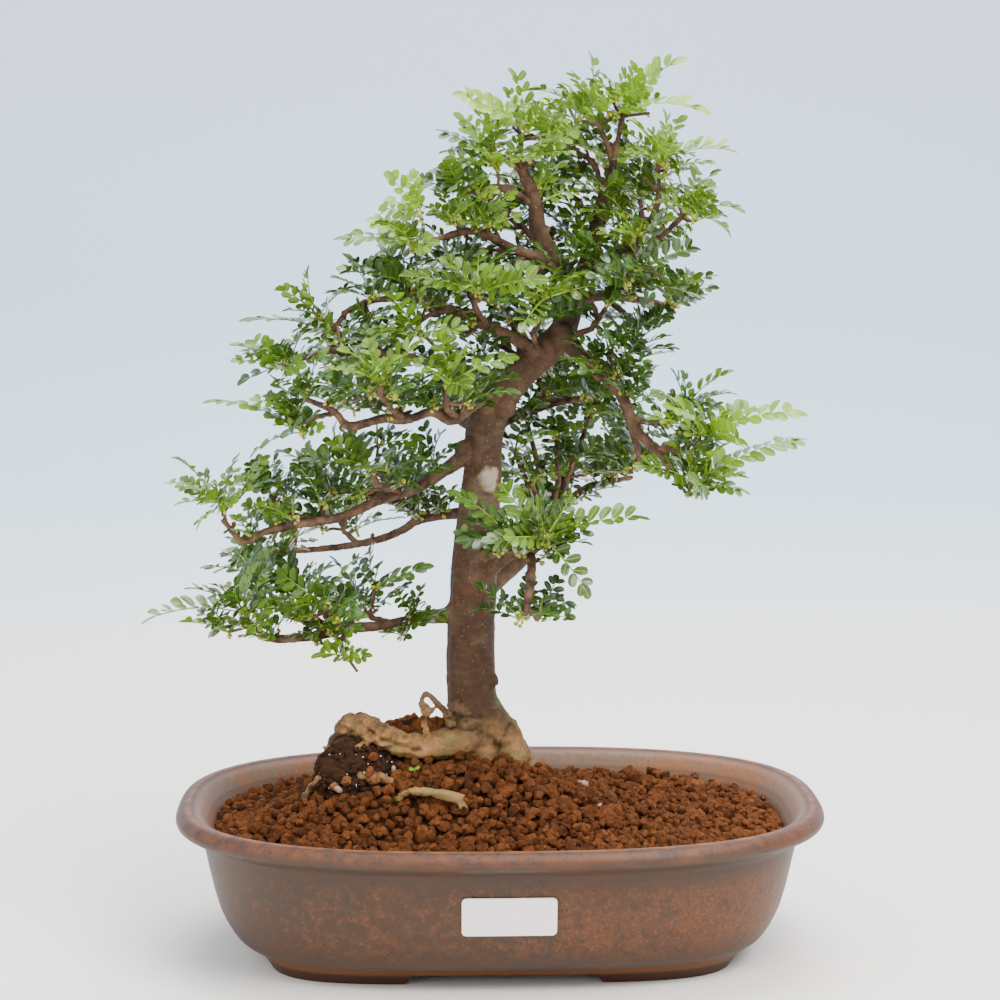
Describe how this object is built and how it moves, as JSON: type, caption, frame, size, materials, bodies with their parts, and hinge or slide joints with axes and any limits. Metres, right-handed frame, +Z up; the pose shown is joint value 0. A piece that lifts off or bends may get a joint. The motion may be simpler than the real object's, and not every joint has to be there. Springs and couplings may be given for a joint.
{
  "type": "japanese pepper bonsai in an oval pot",
  "caption": "Potted Japanese pepper bonsai: bare trunk with a bent crown, pinnate leaf sprays on layered branches, grainy soil, oval glazed pot on low feet.",
  "frame": {"origin": "middle of the whole object's footprint, on the surface the pot's feet stand on", "axes": "+Z up along the tree's height, X along the pot's long side, the pot's front with its sticker towards -Y"},
  "size_m": [0.3216, 0.217, 0.426],
  "materials": {
    "glaze": "semi-gloss brown glaze with fine blue-grey and rust speckle",
    "net": "matte dark plastic net",
    "sticker": "smooth white sticker, bare",
    "akadama": "dry crumbly baked clay grains",
    "peat": "dark crumbly root-ball soil",
    "bark": "thin matte bark with fine pale dots",
    "leaf": "glossy dark green leaf",
    "young_leaf": "bright green young leaf"
  },
  "bodies": {
    "root": {"pot": "glaze", "drainage_mesh_left": "net", "drainage_mesh_right": "net", "label": "sticker", "akadama_soil": "akadama", "peat_mound": "peat", "wood": "bark", "spray_01": "young_leaf", "spray_02": "young_leaf", "spray_03": "young_leaf", "spray_04": "leaf", "spray_05": "young_leaf", "spray_06": "young_leaf", "spray_07": "leaf", "spray_08": "leaf", "spray_09": "leaf", "spray_10": "leaf", "spray_11": "leaf", "spray_12": "leaf", "spray_13": "young_leaf", "spray_14": "leaf", "spray_15": "young_leaf", "spray_16": "young_leaf", "spray_17": "leaf", "spray_18": "leaf", "spray_19": "leaf", "spray_20": "leaf", "spray_21": "leaf", "spray_22": "leaf", "spray_23": "young_leaf", "spray_24": "young_leaf", "spray_25": "leaf", "spray_26": "young_leaf", "spray_27": "young_leaf", "spray_28": "leaf", "spray_29": "leaf", "spray_30": "leaf", "spray_31": "leaf", "spray_32": "leaf", "spray_33": "leaf", "spray_34": "leaf", "spray_35": "leaf", "spray_36": "leaf", "spray_37": "leaf", "spray_38": "young_leaf", "spray_39": "leaf", "spray_40": "leaf", "spray_41": "leaf", "spray_42": "young_leaf", "spray_43": "young_leaf", "spray_44": "leaf", "spray_45": "young_leaf", "spray_46": "leaf", "spray_47": "leaf", "spray_48": "leaf", "spray_49": "leaf", "spray_50": "leaf", "spray_51": "leaf", "spray_52": "leaf"}
  },
  "joints": []
}
